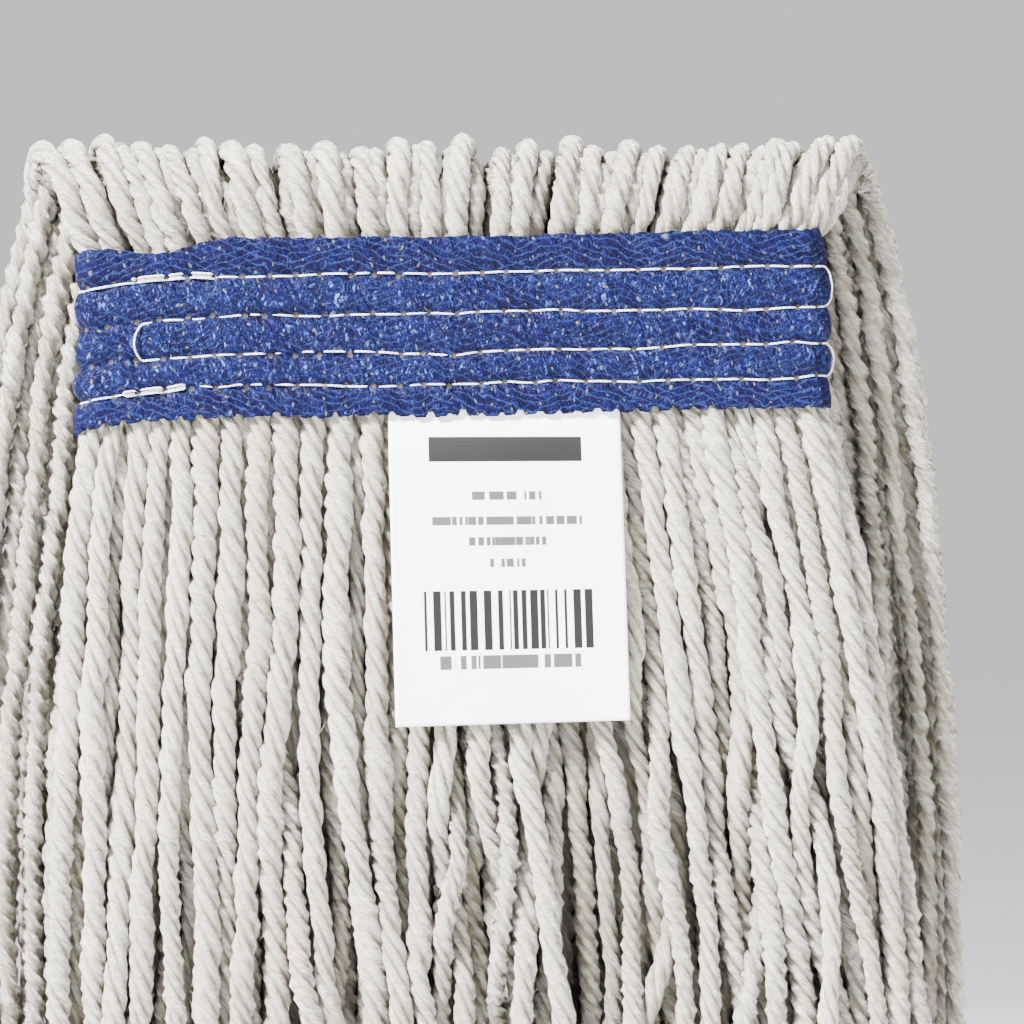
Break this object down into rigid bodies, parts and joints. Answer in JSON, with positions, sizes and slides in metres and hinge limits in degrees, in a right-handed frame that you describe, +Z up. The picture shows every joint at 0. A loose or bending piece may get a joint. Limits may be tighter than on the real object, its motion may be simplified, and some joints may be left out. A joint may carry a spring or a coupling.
{
  "type": "string mop head",
  "caption": "Cut-end cotton wet mop head: twisted yarn sewn into a narrow mesh headband and folded over it, with a front and a back skirt and a sewn-in label.",
  "frame": {"origin": "middle of the headband's front face, where a handle's clamp grips it", "axes": "+Z up, along the hanging yarn and through the fold; -Y out of the front, where the label is; +X along the headband"},
  "size_m": [0.1912, 0.0582, 0.4284],
  "materials": {
    "cotton_yarn": "natural twisted cotton, matt",
    "mesh_tape": "blue knitted polypropylene mesh, slightly shiny",
    "thread": "white spun sewing thread",
    "satin": "white woven satin ribbon"
  },
  "bodies": {
    "band": {"headband": "mesh_tape", "front_stitch_row_1": "thread", "front_stitch_row_2": "thread", "front_stitch_row_3": "thread", "front_stitch_row_4": "thread", "back_stitch_row_1": "thread", "back_stitch_row_2": "thread", "back_stitch_row_3": "thread", "back_stitch_row_4": "thread", "crown_lock_01": "cotton_yarn", "crown_lock_02": "cotton_yarn", "crown_lock_03": "cotton_yarn", "crown_lock_04": "cotton_yarn", "crown_lock_05": "cotton_yarn", "crown_lock_06": "cotton_yarn", "crown_lock_07": "cotton_yarn", "crown_lock_08": "cotton_yarn", "crown_lock_09": "cotton_yarn", "crown_lock_10": "cotton_yarn", "crown_lock_11": "cotton_yarn", "crown_lock_12": "cotton_yarn", "crown_lock_13": "cotton_yarn", "crown_lock_14": "cotton_yarn", "crown_lock_15": "cotton_yarn", "crown_lock_16": "cotton_yarn"},
    "front_skirt": {"front_lock_01": "cotton_yarn", "front_lock_02": "cotton_yarn", "front_lock_03": "cotton_yarn", "front_lock_04": "cotton_yarn", "front_lock_05": "cotton_yarn", "front_lock_06": "cotton_yarn", "front_lock_07": "cotton_yarn", "front_lock_08": "cotton_yarn", "front_lock_09": "cotton_yarn", "front_lock_10": "cotton_yarn", "front_lock_11": "cotton_yarn", "front_lock_12": "cotton_yarn", "front_lock_13": "cotton_yarn", "front_lock_14": "cotton_yarn", "front_lock_15": "cotton_yarn", "front_lock_16": "cotton_yarn"},
    "back_skirt": {"back_lock_01": "cotton_yarn", "back_lock_02": "cotton_yarn", "back_lock_03": "cotton_yarn", "back_lock_04": "cotton_yarn", "back_lock_05": "cotton_yarn", "back_lock_06": "cotton_yarn", "back_lock_07": "cotton_yarn", "back_lock_08": "cotton_yarn", "back_lock_09": "cotton_yarn", "back_lock_10": "cotton_yarn", "back_lock_11": "cotton_yarn", "back_lock_12": "cotton_yarn", "back_lock_13": "cotton_yarn", "back_lock_14": "cotton_yarn", "back_lock_15": "cotton_yarn", "back_lock_16": "cotton_yarn"},
    "label_flap": {"label": "satin"}
  },
  "joints": [
    {"name": "front_skirt_lift", "type": "hinge", "parent": "band", "child": "front_skirt", "pos_m": [0, -0.00035, -0.0165], "axis": [-1, 0, 0], "range_deg": [0, 85]},
    {"name": "back_skirt_lift", "type": "hinge", "parent": "band", "child": "back_skirt", "pos_m": [0, 0.02125, 0.023], "axis": [1, 0, 0], "range_deg": [0, 90]},
    {"name": "label_flip", "type": "hinge", "parent": "front_skirt", "child": "label_flap", "pos_m": [0, -0.00035, -0.0165], "axis": [-1, 0, 0], "range_deg": [0, 70]}
  ]
}
